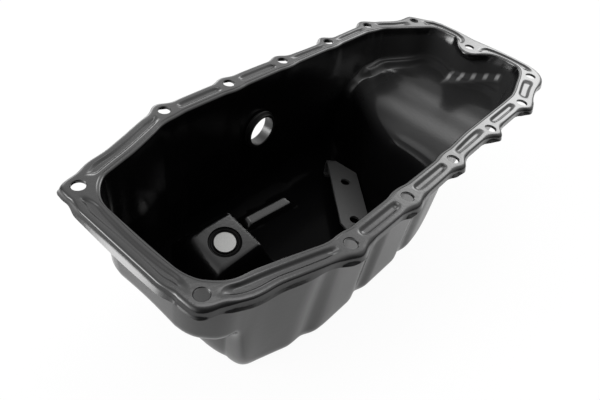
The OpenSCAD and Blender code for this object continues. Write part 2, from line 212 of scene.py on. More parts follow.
foot = [curve(col, step, columns[:, k]) for k in range(4)]
across = curve(row, turn, rows_y)
frac = (across + 42.5) / 85
right_y = curve(row, turn, end_y)
x_far, x_near = curve(col, step, top_far), curve(col, step, top_near)
lip_x_far, lip_x_near = curve(col, step, edge_far), curve(col, step, edge_near)
lip_right_y = mix(-34, 34, (right_y + 32) / 56)
lip_left_y = mix(-36, 38, frac)
lip_left_x = -169.4 + 1.6 * ease(26, 37, np.abs(lip_left_y))
edge = np.stack([
    loop_of(lip_x_far, along(lip_right_y, lip_end), lip_x_near, lip_left_x),
    loop_of(lip_line(lip_x_far, 1), lip_right_y, lip_line(lip_x_near, -1), lip_left_y)], axis=-1)
column = loop_of(col, np.full_like(row, last), col, np.zeros_like(row))
floor_z = curve(column, step, columns[:, 3])
foot_r = curve(column, [0, 3, 12, climb_col, climb_col + 2, last], [9, 9, 16, 16, 7, 7])
shelf = loop_of(ease(crest_col + 0.5, fan_col + 0.5, col), np.ones_like(row),
                ease(last - 3, last, col), np.zeros_like(row))
shelf_width = 9.5

# the middles of the fans of directions round both ends
left_fan_x, right_fan_x, right_fan_y = -125, 112, -4


def wall_at(h):
    """The inner wall's outline at depth h from 0 at the rim to 1 at the foot. On the long sides a
    station leans along the pan with the square of h, towards its foot, and the notch of the right
    end fades out below the rim. Also gives the direction into the pan, fanned round both ends, and
    how far the wall leans in."""
    far = mix(x_far, foot[1], h * h)
    near = mix(x_near, foot[0], h * h)
    end = mix(along(right_y, wall_end), along(right_y, wall_end_low), ease(0, 0.45, h))
    x = loop_of(far, end, near, np.full_like(row, left_wall))
    y = loop_of(wall_line(far, 1, h), right_y, wall_line(near, -1, h), mix(-24, 21, frac))
    inward = np.stack([np.minimum(right_fan_x - x, 0) + np.maximum(left_fan_x - x, 0),
                       np.where(x > right_fan_x, right_fan_y - y, -y)], axis=-1)
    inward /= np.linalg.norm(inward, axis=-1, keepdims=True)
    lean = (1 + 1.4 * ease(-136, -118, x) * ease(-72, -100, x) + 0.4 * ease(-146, -156, x)
            + 1.2 * ease(118, 145, x))
    return np.stack([x, y], axis=-1), inward, lean


def shallow_height(x, share):
    """Height of the shallow floor at x: a smooth curve through the columns' heights, with their
    places taken between the near and the far side by share."""
    high = columns[climb_col:]
    heights = [curve(a, mix(high[:, 0], high[:, 1], b), high[:, 3])
               for a, b in zip(np.ravel(x), np.ravel(share))]
    return np.reshape(heights, np.shape(x))


def far_share(t):
    """How far the ramp's columns have swung to their far places, at share t across the pan: 0 up
    to a share of 0.35, then the power 1.5 of what is left."""
    return np.clip((t - 0.35) / 0.65, 0, 1) ** 1.5


foot_xy, inward, lean = wall_at(1.0)
foot_x = foot_xy[:, 0] + inward[:, 0] * (wall_draft * lean + mix(foot_r, shelf_width, shelf))
share = loop_of(np.ones_like(col), far_share(frac), np.zeros_like(col), np.zeros_like(row))
floor_z = mix(floor_z, shallow_height(foot_x, share), ease(crest_col, fan_col, column))
rim, inward, lean = wall_at(0.0)
flange = rim - edge
width = np.linalg.norm(flange, axis=-1, keepdims=True)
to_rim = flange / width
middle = (edge + rim) / 2
rim_r = np.interp(rim[:, 0], [100, 130], [2.6, 2.0])[:, None]


def bolt_distance(xy):
    """Distance in plan from each point to the nearest bolt."""
    return np.linalg.norm(xy[:, None, :] - np.array(bolts)[None], axis=-1).min(axis=-1)


# at an ear the roll is larger, and the edge lies a little further out
ears = 1 - ease(9.5, 16, bolt_distance(edge))
roll_r = (roll_radius + 1.4 * ears)[:, None]
edge = edge - to_rim * (0.6 * ears)[:, None]
left_end = ease(-161, -168, edge[:, 0])

# the lip leans out: most at the left end, and on the near side at the left flank of each ear and
# along the stretch before the corner
beside = edge[:, :1] - bolt_x
flank = (np.exp(-(((beside + 7.5) / 4) ** 2)).sum(axis=-1)
         + ease(-108, -120, edge[:, 0]) * ease(-160, -152, edge[:, 0]))
flare = 0.3 + 0.2 * ears + 2.0 * left_end * (1 - 0.6 * ears) + 1.3 * flank * (edge[:, 1] < -50)
flat = width[:, 0] - roll_r[:, 0] - rim_r[:, 0]
bolt_gap = bolt_distance(middle)


def groove(f):
    """Depth of the sealing groove at share f of the flat land: a slot with round ends, whose wall
    falls in an S curve. Its ends stay clear of the bolts. It is softer across the left end."""
    half = 0.32 * flat
    side = (f - 0.54) * flat
    end = np.maximum(0, 8.8 + half - bolt_gap)
    inside = half - np.hypot(side, end)
    depth = bead_depth * (1 - 0.3 * left_end) * ease(3.5, 5.5, flat)
    return depth * ease(-0.2, 2.1 + 0.5 * left_end, inside)


rings = []


def ring(xy, z):
    """One loop of the skin at the given plan and height."""
    rings.append(np.column_stack([xy, np.broadcast_to(z, len(xy))]))


# the lip, its roll into the sealing face, and that face with its groove
for h in np.linspace(0, 1, 3):
    low, high = face_z - lip_depth, face_z - roll_r[:, 0]
    ring(edge - to_rim * (flare * (1 - h))[:, None], mix(low, high, h))
for a in np.radians([18, 36, 54, 72, 90]):
    ring(edge + to_rim * roll_r * (1 - np.cos(a)), face_z - roll_r[:, 0] * (1 - np.sin(a)))
for f in np.concatenate([[0.1], np.linspace(0.19, 0.89, 19), [0.95]]):
    ring(mix(edge + to_rim * roll_r, rim - to_rim * rim_r, f), face_z - groove(f))

# the rim: a fine step down, then a quarter round into the wall, as shares of the rim's radius
step_fall, round_share = 0.16, 0.58
for d in [0, 0.08, 0.16, 0.24, 0.33, 0.5, 0.65, 0.78, 0.88, 0.95, 1]:
    into = max(0, d - 1 + round_share)
    drop = round_share - np.sqrt(max(0, round_share ** 2 - into ** 2))
    fall = step_fall * ease(0.03, 0.35, d) + drop
    ring(rim - to_rim * rim_r * (1 - d), face_z - rim_r[:, 0] * fall)
rim_end = face_z - rim_r[:, 0] * (step_fall + round_share)
for h in np.linspace(0, 1, 10)[1:]:
    xy, inward, lean = wall_at(h)
    ring(xy + inward * (wall_draft * h * lean)[:, None], mix(rim_end, floor_z + foot_r, h))

# the foot: a quarter round, but round the shallow end a narrow shelf and a short drop. Its first
# ring is the wall's last.
foot_rings = 13
turns = [0, 0.12, 0.25, 0.45, 0.6, 0.75, 0.88, 1]
for k in np.linspace(0, 1, foot_rings)[1:]:
    a = k * np.pi / 2
    shelf_reach = curve(k, turns, [0, 0.6, 1.6, 3.7, 5.2, 6.3, 7.8, shelf_width])
    shelf_height = curve(k, turns, [7, 5.8, 5.0, 4.6, 4.2, 2.4, 0.7, 0])
    reach = wall_draft * lean + mix(foot_r * (1 - np.cos(a)), shelf_reach, shelf)
    height = mix(foot_r * (1 - np.sin(a)), shelf_height, shelf)
    ring(xy + inward * reach[:, None], floor_z + height)


def blend_low(a, b, k):
    """The lower of a and b, with the fold between them rounded over a height k."""
    h = np.clip(0.5 + 0.5 * (b - a) / k, 0, 1)
    return mix(b, a, h) - k * h * (1 - h)


drain_xy = (-76.3, 24.5)
drain_z = 18.1
drain_tip = (0.2, 0.187)
rib_z = 6.6


def raised(x, y, z):
    """The skin with its two raised forms: the higher of the skin and of each form, with the valley
    between rounded. The drain's square is a plane that tips to the left and to the near side, cut
    off by three steep faces and a slow one on the left. The rib is a low bar, tipped to the near
    side."""
    plane = drain_z + drain_tip[0] * (x - drain_xy[0]) + drain_tip[1] * (y - drain_xy[1])
    right = -60.2 - x
    far = 39.3 - 0.15 * (x + 60.2) - y
    near = y - (7.9 - 0.09 * (x + 61))
    left = x + 93.5 - 0.02 * (y - 26)
    square = blend_low(plane, plane + 2.6 * right + 1, 3.6)
    square = blend_low(square, plane + 1.9 * far + 1, 5)
    square = blend_low(square, plane + 2.2 * near + 1, 4.4)
    square = blend_low(square, plane + 0.95 * left, 5)
    mid = 34.9 - 0.09 * (x + 22)
    bar = rib_z + 0.24 * (y - mid)
    bar = blend_low(bar, rib_z + 2.2 * (3.8 - (mid - y)), 2.6)
    bar = blend_low(bar, rib_z + 1.4 * (4.6 - (y - mid)), 3.2)
    bar = blend_low(bar, rib_z + 1.6 * (x + 43), 3.0)
    bar = blend_low(bar, rib_z + 1.6 * (-2.4 - x), 3.0)
    for form, k in ((square, 2.0), (bar, 1.2)):
        z = -blend_low(-z, -np.where(form > -20, form, -20), k)
    return z


for section in rings[-foot_rings:]:
    section[:, 2] = raised(section[:, 0], section[:, 1], section[:, 2])
skin = np.stack(rings)

# floor: columns and rows between the feet of the walls
n_col, n_row = len(col), len(row)
start_right, start_near, start_left = n_col - 1, n_col + n_row - 2, 2 * n_col + n_row - 3
foot_ring = skin[-1]
far_foot = foot_ring[:n_col]
right_foot = foot_ring[start_right:start_right + n_row][::-1]
near_foot = foot_ring[start_near:start_near + n_col][::-1]
left_foot = np.concatenate([foot_ring[start_left:], foot_ring[:1]])
i = col[:, None]
j = row[None, :]
t = frac[None, :]
v = 2 * t - 1
bent = mix(t, far_share(t), ease(slant_col, slant_col + 1, i) * (1 - ease(fan_col, last, i)))
x0 = mix(near_foot[:, None, 0], far_foot[:, None, 0], bent)
x0 = x0 + foot[2][:, None] * (1 - np.abs(v) ** 4)
a = np.clip((i - fan_col) / (last - fan_col), 0, 1)
fan = mix(mix(columns[fan_col, 0], columns[fan_col, 1], bent), right_foot[None, :, 0], a)
x = np.where(i > fan_col, mix(fan, x0, np.abs(v) ** 6), x0)
x = np.where(i < left_col, mix(left_foot[None, :, 0], x0, i / left_col), x)
y = mix(mix(near_foot[:, None, 1], far_foot[:, None, 1], t), right_foot[None, :, 1], a * a)

# rows 8 to 14 turn with the rib
slant = np.interp(j, [8, 9, 10, 12, 13, 14], [0, 0.5, 1, 1, 0.5, 0])
slant = slant * ease(-60, -45, x) * (1 - ease(14, 30, x))
y = y - slant * 0.09 * (x + 22)

shallow_z = shallow_height(x, np.broadcast_to(far_share(t), x.shape))
level_z = mix(foot[3][:, None], shallow_z, ease(crest_col, fan_col, i))
z = raised(x, y, level_z)
floor = np.stack([x, y, z], axis=-1)


def skin_mesh(name, rings, floor):
    """Faces of a loop of sections closed by a grid. The grid's border is the last loop."""
    n, m = rings.shape[:2]
    c, r = floor.shape[:2]
    inner = np.arange((c - 2) * (r - 2)).reshape(c - 2, r - 2) + n * m
    index = np.empty((c, r), int)
    index[1:-1, 1:-1] = inner
    base = (n - 1) * m
    index[:, -1] = base + np.arange(c)
    index[-1, :] = base + (start_right + np.arange(r))[::-1]
    index[:, 0] = base + (start_near + np.arange(c))[::-1]
    index[0, :] = base + (start_left + np.arange(r)) % m
    p = np.arange(n - 1)[:, None] * m
    s = np.arange(m)[None, :]
    e = (s + 1) % m
    side = np.stack([p + s, p + e, p + m + e, p + m + s], axis=-1).reshape(-1, 4)
    low = np.stack([index[:-1, :-1], index[:-1, 1:], index[1:, 1:], index[1:, :-1]], axis=-1)
    low = low.reshape(-1, 4)
    points = np.concatenate([rings.reshape(-1, 3), floor[1:-1, 1:-1].reshape(-1, 3)])
    points = (points + [middle_x, 0, 0]) / 1000
    mesh = bpy.data.meshes.new(name)
    mesh.from_pydata(points.tolist(), [], np.concatenate([side, low])[:, ::-1].tolist())
    mesh.update()
    return mesh


pan = bpy.data.objects.new("pan_skin", skin_mesh("pan_skin", skin, floor))
bpy.context.scene.collection.objects.link(pan)
wall = pan.modifiers.new("sheet", "SOLIDIFY")
wall.thickness = sheet / 1000
wall.offset = -1


def turned(name, profile, around, sides=64):
    """Solids of revolution in one mesh: each profile point (radius, height) goes round in even
    steps, about an axis through a given point along a given direction. A profile that ends where
    it began makes a ring, and any other one is closed by a disc at each end."""
    k = np.arange(sides)
    angle = k * 2 * np.pi / sides
    circle = np.stack([np.cos(angle), np.sin(angle), np.zeros(sides)], axis=-1)
    ahead = (k + 1) % sides
    points, faces = [], []
    for centre, axis, part in around:
        axis = np.array(axis) / np.linalg.norm(axis)
        side = np.cross(axis, [0.36, 0.48, 0.8])
        side /= np.linalg.norm(side)
        turn_to = np.stack([side, np.cross(axis, side), axis], axis=-1)
        base = sum(len(block) for block in points)
        shape = profile[part]
        closed = shape[0] == shape[-1]
        count = len(shape) - closed
        local = np.concatenate([circle * r + [0, 0, h] for r, h in shape[:count]])
        points.append((local @ turn_to.T + centre) / 1000)
        for n in range(len(shape) - 1):
            p, q = base + n * sides, base + (n + 1) % count * sides
            faces += np.stack([p + k, p + ahead, q + ahead, q + k], axis=-1).tolist()
        if not closed:
            faces.append((base + k[::-1]).tolist())
            faces.append((base + (count - 1) * sides + k).tolist())
    mesh = bpy.data.meshes.new(name)
    mesh.from_pydata(np.concatenate(points).tolist(), [], faces)
    mesh.update()
    return mesh


# a pierced hole has a small burr-free chamfer at its upper edge
pierced = {"bolt": [(bolt_r, -5), (bolt_r, -0.35), (bolt_r + 0.4, 0.05), (bolt_r + 0.4, 3)],
           "port": [(12.6, -12), (12.6, 12)],
           "drain": [(10.95, -6), (10.95, -0.35), (11.3, 0.1), (11.3, 6)]}
drain_axis = np.array([-drain_tip[0], -drain_tip[1], 1.0])
drain_at = (drain_xy[0] + middle_x, drain_xy[1], drain_z)
port_at = (-17 + middle_x, 57.4, 62.5)
places = [((x + middle_x, y, face_z), (0, 0, 1), "bolt") for x, y in bolts]
places.append((port_at, (0, 1, 0), "port"))
places.append((drain_at, drain_axis, "drain"))


def pierce(piece, cutters):
    """Cuts holes in a piece, with all its modifiers made part of its mesh."""
    punch = bpy.data.objects.new("punch", cutters)
    bpy.context.scene.collection.objects.link(punch)
    cut = piece.modifiers.new("holes", "BOOLEAN")
    cut.object = punch
    cut.solver = "MANIFOLD"
    graph = bpy.context.evaluated_depsgraph_get()
    drawn = bpy.data.meshes.new_from_object(piece.evaluated_get(graph))
    piece.modifiers.clear()
    piece.data = drawn
    bpy.data.objects.remove(punch)


pierce(pan, turned("punch", pierced, places))
pan.data.shade_smooth()
pan.data.set_sharp_from_angle(angle=np.radians(38))
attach(pan, "root")
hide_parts("pan_shell")


def paint_grain():
    """Node group: paint thickness noise. Gives a height for the orange peel and a mask of faint
    cloudiness, both from position on the piece."""
    group = bpy.data.node_groups.new("paint_grain", "ShaderNodeTree")
    face = group.interface
    face.new_socket("Vector", in_out="INPUT", socket_type="NodeSocketVector")
    face.new_socket("Height", in_out="OUTPUT", socket_type="NodeSocketFloat")
    face.new_socket("Cloud", in_out="OUTPUT", socket_type="NodeSocketFloat")
    nodes, links = group.nodes, group.links
    start, end = nodes.new("NodeGroupInput"), nodes.new("NodeGroupOutput")
    peel = nodes.new("ShaderNodeTexNoise")
    peel.inputs["Scale"].default_value = 420
    peel.inputs["Detail"].default_value = 2
    cloud = nodes.new("ShaderNodeTexNoise")
    cloud.inputs["Scale"].default_value = 38
    cloud.inputs["Detail"].default_value = 4
    for noise, name in ((peel, "Height"), (cloud, "Cloud")):
        links.new(start.outputs["Vector"], noise.inputs["Vector"])
        links.new(noise.outputs["Fac"], end.inputs[name])
    return group


grain = paint_grain()


def inner_film_and_painted_light():
    """Node group: how much of its shine the paint keeps. It is 1 outside, on the flange and on the
    raised forms of the sump's floor, little on the shallow floor, in soft bands across it, and
    next to none on the rest of the inside, which is dulled by a thin film of oil. The second
    output is a mask of painted light on the inside: a painted sheen over the shallow end's
    inside, a painted band of reflection with a row of painted glints on its end wall, and a
    painted highlight along the right edge of the raised square."""
    group = bpy.data.node_groups.new("inner_film_and_painted_light", "ShaderNodeTree")
    face = group.interface
    face.new_socket("Position", in_out="INPUT", socket_type="NodeSocketVector")
    face.new_socket("Facing", in_out="INPUT", socket_type="NodeSocketVector")
    face.new_socket("Shine", in_out="OUTPUT", socket_type="NodeSocketFloat")
    face.new_socket("PaintedLight", in_out="OUTPUT", socket_type="NodeSocketFloat")
    nodes, links = group.nodes, group.links
    start, end = nodes.new("NodeGroupInput"), nodes.new("NodeGroupOutput")
    split = nodes.new("ShaderNodeSeparateXYZ")
    links.new(start.outputs["Position"], split.inputs[0])
    rise = nodes.new("ShaderNodeVectorMath")
    rise.operation = "SUBTRACT"
    rise.inputs[0].default_value = (0, 0, 0.25)
    links.new(start.outputs["Position"], rise.inputs[1])
    inward = nodes.new("ShaderNodeVectorMath")
    inward.operation = "DOT_PRODUCT"
    links.new(rise.outputs["Vector"], inward.inputs[0])
    links.new(start.outputs["Facing"], inward.inputs[1])

    def span(source, low, high):
        """0 below low, 1 above high, smooth between them, or the other way round."""
        part = nodes.new("ShaderNodeMapRange")
        part.interpolation_type = "SMOOTHSTEP"
        part.inputs["From Min"].default_value = min(low, high)
        part.inputs["From Max"].default_value = max(low, high)
        if low > high:
            part.inputs["To Min"].default_value, part.inputs["To Max"].default_value = 1, 0
        links.new(source, part.inputs["Value"])
        return part.outputs["Result"]

    def join(kind, *values):
        """The result of a sum, product, sine or other simple step on one or two values."""
        part = nodes.new("ShaderNodeMath")
        part.operation = kind
        for socket, value in zip(part.inputs, values):
            if isinstance(value, (int, float)):
                socket.default_value = value
            else:
                links.new(value, socket)
        return part.outputs["Value"]

    def times(*masks):
        """The product of two or more masks."""
        product = masks[0]
        for mask in masks[1:]:
            product = join("MULTIPLY", product, mask)
        return product

    def within(source, a, b, c, d):
        """1 from b to c, 0 before a and after d, smooth between them."""
        return times(span(source, a, b), span(source, d, c))

    def wave(kind, source, shift, pitch):
        """Sine or cosine of 2 pi (source + shift) / pitch."""
        return join(kind, join("MULTIPLY", join("ADD", source, shift), 2 * np.pi / pitch))

    # faces turned towards a point above the pan, below the flange
    x, y, z = split.outputs
    inside = times(span(inward.outputs["Value"], 0, 0.01), span(z, 0.098, 0.094))
    square_and_rib = times(within(x, -0.107, -0.1, 0.001, 0.004),
                           within(y, 0.004, 0.006, 0.041, 0.043),
                           within(z, 0.003, 0.005, 0.024, 0.026))
    # what is kept: on the shallow floor most along its far side
    bands = join("ADD", times(wave("SINE", x, 0.00473, 0.027), 0.08), 0.2)
    bands = join("ADD", bands, times(span(y, 0.033, 0.041), 0.9))
    shallow = times(span(z, 0.055, 0.066), span(x, 0.155, 0.115), bands)
    kept = join("MAXIMUM", join("MAXIMUM", square_and_rib, shallow), 0.02)
    dull = times(inside, join("SUBTRACT", 1, kept))
    links.new(join("SUBTRACT", 1, dull), end.inputs["Shine"])

    # painted light: a painted sheen over the shallow end's inside, then the end wall's painted
    # band and glints, which rise to the near side, and a painted highlight on the square's edge
    painted_sheen = times(span(x, 0.02, 0.1), within(z, 0.05, 0.066, 0.096, 0.1), 0.068)
    level = join("ADD", z, times(y, 0.33))
    # a painted band of reflection along the end wall's ledge, and a row of painted glints on it
    painted_band = times(within(level, 0.07, 0.0745, 0.078, 0.083), 0.13)
    spots = times(span(wave("COSINE", y, 0.0147, 0.0082), 0.0, 1.0), 0.85,
                  within(level, 0.0735, 0.0768, 0.0775, 0.081))
    end_wall = times(span(x, 0.125, 0.14), within(y, -0.038, -0.033, 0.003, 0.008),
                     join("ADD", painted_band, spots))
    # a painted highlight along the right edge of the raised square
    painted_edge_highlight = times(within(x, -0.0626, -0.0616, -0.0613, -0.0604), span(z, 0.012, 0.015),
                 within(y, 0.0075, 0.0095, 0.0385, 0.0405), 0.6)
    # all of this is painted light, kept to the inside
    painted_light_mask = join("MAXIMUM", painted_sheen, join("MAXIMUM", end_wall, painted_edge_highlight))
    links.new(times(painted_light_mask, inside), end.inputs["PaintedLight"])
    return group


film = inner_film_and_painted_light()


def black_paint(name, base, rough, peel, filmed):
    """Glossy black dip paint: near-black colour with faint clouds, roughness that follows them,
    and a fine orange peel. Where it is filmed, the inside is dull, and pale grey is mixed into its
    colour as painted light."""
    specular = 0.55
    material = bpy.data.materials.new(name)
    material.use_nodes = True
    nodes, links = material.node_tree.nodes, material.node_tree.links
    paint = nodes["Principled BSDF"]
    place = nodes.new("ShaderNodeTexCoord")
    noise = nodes.new("ShaderNodeGroup")
    noise.node_tree = grain
    tone = nodes.new("ShaderNodeMix")
    tone.data_type = "RGBA"
    tone.inputs["A"].default_value = (*[c * 0.8 for c in base], 1)
    tone.inputs["B"].default_value = (*[c * 1.25 for c in base], 1)
    gloss = nodes.new("ShaderNodeMapRange")
    gloss.inputs["To Min"].default_value = rough - 0.04
    gloss.inputs["To Max"].default_value = rough + 0.05
    bump = nodes.new("ShaderNodeBump")
    bump.inputs["Strength"].default_value = peel
    bump.inputs["Distance"].default_value = 0.0002
    paint.inputs["Specular IOR Level"].default_value = specular
    links.new(place.outputs["Object"], noise.inputs["Vector"])
    links.new(noise.outputs["Cloud"], tone.inputs["Factor"])
    links.new(noise.outputs["Cloud"], gloss.inputs["Value"])
    links.new(noise.outputs["Height"], bump.inputs["Height"])
    links.new(tone.outputs["Result"], paint.inputs["Base Color"])
    if filmed:
        facing = nodes.new("ShaderNodeNewGeometry")
        shine = nodes.new("ShaderNodeGroup")
        shine.node_tree = film
        level = nodes.new("ShaderNodeMath")
        level.operation = "MULTIPLY"
        level.inputs[1].default_value = specular
        # pale grey mixed into the colour where light is painted: painted sheen, band, glints and
        # edge highlight
        painted_light_mix = nodes.new("ShaderNodeMix")
        painted_light_mix.data_type = "RGBA"
        painted_light_mix.inputs["B"].default_value = (0.22, 0.22, 0.22, 1)
        links.new(place.outputs["Object"], shine.inputs["Position"])
        links.new(facing.outputs["Normal"], shine.inputs["Facing"])
        links.new(shine.outputs["Shine"], level.inputs[0])
        links.new(level.outputs["Value"], paint.inputs["Specular IOR Level"])
        links.new(shine.outputs["PaintedLight"], painted_light_mix.inputs["Factor"])
        links.new(tone.outputs["Result"], painted_light_mix.inputs["A"])
        links.new(painted_light_mix.outputs["Result"], paint.inputs["Base Color"])
    links.new(gloss.outputs["Result"], paint.inputs["Roughness"])
    links.new(bump.outputs["Normal"], paint.inputs["Normal"])
    return material


shell_paint = black_paint("shell_paint", (0.0028, 0.0028, 0.003), 0.17, 0.2, True)
pan.data.materials.clear()
pan.data.materials.append(shell_paint)


def fitting(name, node, mesh, material):
    """A finished piece that stands in for a CAD node."""
    piece = bpy.data.objects.new(name, mesh)
    bpy.context.scene.collection.objects.link(piece)
    mesh.materials.append(material)
    mesh.shade_smooth()
    mesh.set_sharp_from_angle(angle=np.radians(30))
    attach(piece, "root")
    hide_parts(node)
    return piece


# Port sleeve. A short length of thick tube is pushed through the far wall from the inside until
# its rolled collar meets the sheet, then brazed. Both ends are chamfered. It has the pan's paint.
sleeve_ring = [(10.9, -3.2), (12.2, -3.2), (12.5, -2.9), (12.5, -0.8), (13.4, -0.7), (13.7, -0.4),
               (13.7, 0.3), (13.4, 0.6), (12.5, 0.6), (12.5, 4.5), (12.2, 4.8), (10.9, 4.8),
               (10.5, 4.4), (10.5, -2.8), (10.9, -3.2)]
sleeve_mesh = turned("port_tube", [sleeve_ring], [(port_at, (0, 1, 0), 0)])
sleeve_paint = black_paint("sleeve_paint", (0.007, 0.007, 0.007), 0.3, 0.2, False)
fitting("port_tube", "port_sleeve", sleeve_mesh, sleeve_paint)

# Drain boss. A turned ring of dull, dark steel is welded under the raised square, with its upper
# face a little below the sheet. That face has a fine raised seat and falls to the thread.
boss_ring = [(7.75, -9), (11.7, -9), (12, -8.7), (12, -4), (12.3, -4), (12.3, -1.6), (10.8, -1.55),
             (10.8, -1.1), (10.6, -0.9), (9.75, -1.2), (9.45, -0.8), (9.15, -0.8), (8.9, -1.4),
             (8.0, -1.7), (7.75, -2.0), (7.75, -9)]


def dull_steel(name, base, specular):
    """Phosphated steel: dark, dull, with a grain that shows only close by."""
    material = bpy.data.materials.new(name)
    material.use_nodes = True
    nodes, links = material.node_tree.nodes, material.node_tree.links
    steel = nodes["Principled BSDF"]
    place = nodes.new("ShaderNodeTexCoord")
    noise = nodes.new("ShaderNodeTexNoise")
    noise.inputs["Scale"].default_value = 900
    rough = nodes.new("ShaderNodeMapRange")
    rough.inputs["To Min"].default_value = 0.3
    rough.inputs["To Max"].default_value = 0.45
    steel.inputs["Base Color"].default_value = (base, base, base, 1)
    steel.inputs["Specular IOR Level"].default_value = specular
    links.new(place.outputs["Object"], noise.inputs["Vector"])
    links.new(noise.outputs["Fac"], rough.inputs["Value"])
    links.new(rough.outputs["Result"], steel.inputs["Roughness"])
    return material


boss_mesh = turned("boss_ring", [boss_ring], [(drain_at, drain_axis, 0)])
fitting("boss_ring", "drain_nut", boss_mesh,
        dull_steel("boss_steel", 0.003, 0.12))

# Drain plug. A zinc plated steel screw comes up through the boss, and its flat chamfered end shows
# in the middle of the ring. Its washer and six-sided head stay below the sheet.
plug_end = [(7.6, -9.2), (7.6, -0.9), (7.2, -0.4)]
washer = [(11.02, -10.4), (11.02, -9.15)]
across_flats = 19
head_low, head_high = -14.6, -10.35


def plated_steel():
    """Zinc plated steel: light grey, satin, with small dull patches."""
    material = bpy.data.materials.new("plug_zinc")
    material.use_nodes = True
    nodes, links = material.node_tree.nodes, material.node_tree.links
    zinc = nodes["Principled BSDF"]
    place = nodes.new("ShaderNodeTexCoord")
    spots = nodes.new("ShaderNodeTexNoise")
    spots.inputs["Scale"].default_value = 1400
    spots.inputs["Detail"].default_value = 3
    tone = nodes.new("ShaderNodeMix")
    tone.data_type = "RGBA"
    tone.inputs["A"].default_value = (0.26, 0.26, 0.255, 1)
    tone.inputs["B"].default_value = (0.40, 0.40, 0.395, 1)
    rough = nodes.new("ShaderNodeMapRange")
    rough.inputs["To Min"].default_value = 0.34
    rough.inputs["To Max"].default_value = 0.5
    zinc.inputs["Metallic"].default_value = 1
    links.new(place.outputs["Object"], spots.inputs["Vector"])
    links.new(spots.outputs["Fac"], tone.inputs["Factor"])
    links.new(spots.outputs["Fac"], rough.inputs["Value"])
    links.new(tone.outputs["Result"], zinc.inputs["Base Color"])
    links.new(rough.outputs["Result"], zinc.inputs["Roughness"])
    return material


plug_mesh = turned("plug", [plug_end, washer], [(drain_at, drain_axis, k) for k in range(2)])


def add_prism(mesh, sides, radius, low, high, corner, centre, axis):
    """Adds a prism to a mesh, about an axis through a point: a polygon at three heights, smaller
    by the corner's size at the lowest, which chamfers that end."""
    axis = np.array(axis) / np.linalg.norm(axis)
    side = np.cross(axis, [0, 1, 0])
    side /= np.linalg.norm(side)
    turn_to = np.stack([side, np.cross(axis, side), axis], axis=-1)
    angle = np.arange(sides) * 2 * np.pi / sides
    circle = np.stack([np.cos(angle), np.sin(angle), np.zeros(sides)], axis=-1)
    rings = ((radius - corner, low), (radius, low + corner * 0.6), (radius, high))
    local = np.concatenate([circle * r + [0, 0, h] for r, h in rings])
    old = [list(v.co) for v in mesh.vertices]
    kept = [list(face.vertices) for face in mesh.polygons]
    base = len(old)
    k = np.arange(sides)
    ahead = (k + 1) % sides
    for n in range(2):
        p, q = base + n * sides, base + (n + 1) * sides
        kept += np.stack([p + k, p + ahead, q + ahead, q + k], axis=-1).tolist()
    kept += [(base + k[::-1]).tolist(), (base + 2 * sides + k).tolist()]
    mesh.clear_geometry()
    mesh.from_pydata(old + ((local @ turn_to.T + centre) / 1000).tolist(), [], kept)
    mesh.update()


head_r = across_flats / 2 / np.cos(np.pi / 6)
add_prism(plug_mesh, 6, head_r, head_low, head_high, 0.7, drain_at, drain_axis)
fitting("plug", "drain_plug", plug_mesh, plated_steel())

# Floor strip. A flat bar of 2 mm steel spans the sump in front of the ramp. One end is a short
# tongue bent down to the floor, and the other is cut slantwise and bent down into a foot. It has
# two pierced holes, and its steel is bare and dull.
strip_line = [(-27, 1), (-17.8, 1), (-12, 13.5), (65, 13.5), (65, 1), (61, 1)]
strip_low = [(-27, -4), (-15, -4), (-9, -11), (50, -11), (66, 5.5)]
strip_high = [(-27, 6), (-15, 6), (-6, 11), (66, 11)]
strip_at = np.array([11.1 + middle_x, -17.3, 1.5])
strip_turn = np.radians(47)


def bent_line(corners, radius):
    """Points along a bent bar's middle line, and its normals there. Each corner becomes an arc
    that starts radius * tan(bend / 2) before it and ends as far behind it."""
    points, normals = [], []
    corners = np.array(corners, float)
    start = corners[0]
    for k in range(1, len(corners)):
        ahead = corners[k] - corners[k - 1]
        ahead /= np.linalg.norm(ahead)
        stop, arc = corners[k], None
        if k + 1 < len(corners):
            after = corners[k + 1] - corners[k]
            after /= np.linalg.norm(after)
            bend = np.arctan2(ahead[0] * after[1] - ahead[1] * after[0], ahead @ after)
            stop = corners[k] - ahead * radius * np.tan(abs(bend) / 2)
            arc = np.linspace(0, bend, 9)[1:-1]
        for f in np.linspace(0, 1, max(2, int(np.linalg.norm(stop - start) / 2.5) + 1)):
            points.append(mix(start, stop, f))
            normals.append((-ahead[1], ahead[0]))
        if arc is not None:
            side = np.array([-ahead[1], ahead[0]]) * np.sign(bend)
            for a in arc:
                swung = ahead * np.sin(abs(a)) - side * np.cos(a)
                points.append(stop + side * radius + radius * swung)
                normals.append((-ahead[1] * np.cos(a) - ahead[0] * np.sin(a),
                                ahead[0] * np.cos(a) - ahead[1] * np.sin(a)))
            start = corners[k] + after * radius * np.tan(abs(bend) / 2)
    return np.array(points), np.array(normals)


